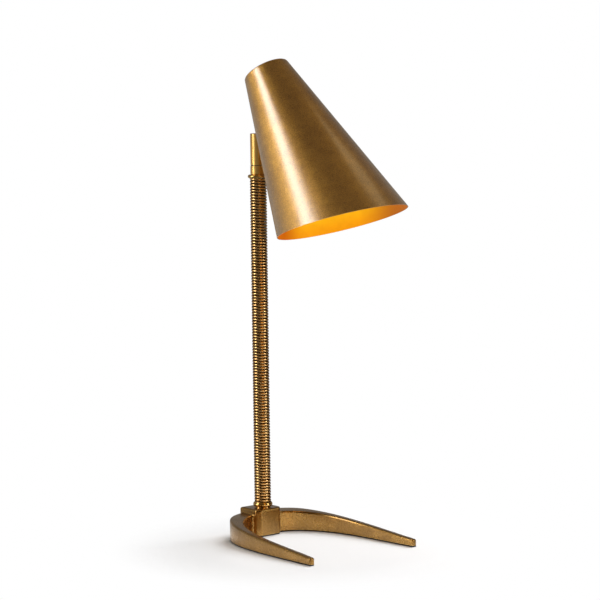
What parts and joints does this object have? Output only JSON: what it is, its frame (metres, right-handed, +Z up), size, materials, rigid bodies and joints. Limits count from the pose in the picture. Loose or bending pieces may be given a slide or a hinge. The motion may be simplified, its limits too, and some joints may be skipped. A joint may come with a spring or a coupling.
{
  "type": "desk lamp",
  "caption": "Free-standing desk lamp: horseshoe foot, coil-wrapped stem, swivelling head tube and a conical metal shade that tilts on a cross pin.",
  "frame": {"origin": "on the stem's axis at the level the felt pad rests on", "axes": "+Z up along the stem, +X forward between the horseshoe's arms, +Y to the lamp's left"},
  "size_m": [0.2216, 0.1734, 0.5561],
  "materials": {
    "base_casting": "satin antique brass plating on a casting, darkened in the corners and worn bright on the edges",
    "felt_pad": "dark pressed felt",
    "stem_washer": "plain zinc-plated steel",
    "stem_nut": "plain zinc-plated steel",
    "cord_bushing": "black moulded bushing",
    "ground_screw": "green-lacquered earth screw",
    "stem_tube": "plain steel tube, hidden by the coil",
    "lower_ring": "polished brass",
    "spring_coil": "polished brass wire",
    "upper_ring": "polished brass",
    "ferrule": "brushed brass",
    "swivel_washer": "dark slip washer",
    "swivel_nut": "plain steel",
    "stem_lead": "brown sleeved lead",
    "head_tube": "brushed brass",
    "head_cap": "brushed brass",
    "swivel_bush": "turned brass",
    "pivot_screw": "turned brass, slotted",
    "pivot_spacers": "nylon friction spacers",
    "head_lead": "brown sleeved lead",
    "tilt_arm": "folded brass sheet, satin",
    "pivot_bush": "turned brass",
    "shade": "antique patinated brass outside, glowing warm yellow inside",
    "socket_bracket": "zinc-plated sheet steel",
    "bracket_screws": "slotted brass screws",
    "bracket_nuts": "plain steel",
    "socket_nipple": "plain steel",
    "nipple_nuts": "plain steel",
    "socket_cap": "spun brass",
    "socket_body": "dark moulded resin",
    "socket_shell": "rolled brass shell",
    "socket_contact": "sprung brass",
    "bulb_glass": "frosted glass, lit",
    "bulb_cap": "rolled aluminium screw cap",
    "bulb_insulator": "black vitrite",
    "bulb_contact": "tinned contact",
    "bulb_stem": "clear glass mount",
    "bulb_filaments": "glowing filament rods",
    "shade_lead": "brown sleeved lead"
  },
  "bodies": {
    "stand": {"base_casting": "base_casting", "felt_pad": "felt_pad", "stem_washer": "stem_washer", "stem_nut": "stem_nut", "cord_bushing": "cord_bushing", "ground_screw": "ground_screw", "stem_tube": "stem_tube", "lower_ring": "lower_ring", "spring_coil": "spring_coil", "upper_ring": "upper_ring", "ferrule": "ferrule", "swivel_washer": "swivel_washer", "swivel_nut": "swivel_nut", "stem_lead": "stem_lead"},
    "head": {"head_tube": "head_tube", "head_cap": "head_cap", "swivel_bush": "swivel_bush", "pivot_screw": "pivot_screw", "pivot_spacers": "pivot_spacers", "head_lead": "head_lead"},
    "shade": {"tilt_arm": "tilt_arm", "pivot_bush": "pivot_bush", "shade": "shade", "socket_bracket": "socket_bracket", "bracket_screws": "bracket_screws", "bracket_nuts": "bracket_nuts", "socket_nipple": "socket_nipple", "nipple_nuts": "nipple_nuts", "socket_cap": "socket_cap", "socket_body": "socket_body", "socket_shell": "socket_shell", "socket_contact": "socket_contact", "bulb_glass": "bulb_glass", "bulb_cap": "bulb_cap", "bulb_insulator": "bulb_insulator", "bulb_contact": "bulb_contact", "bulb_stem": "bulb_stem", "bulb_filaments": "bulb_filaments", "shade_lead": "shade_lead"}
  },
  "joints": [
    {"name": "head_swivel", "type": "hinge", "parent": "stand", "child": "head", "pos_m": [0, 0, 0.433], "axis": [0, 0, 1], "range_deg": [-173.6, 156.4]},
    {"name": "shade_tilt", "type": "hinge", "parent": "head", "child": "shade", "pos_m": [0, 0, 0.457], "axis": [-0.1495, 0.9888, 0], "range_deg": [-20, 20]}
  ]
}
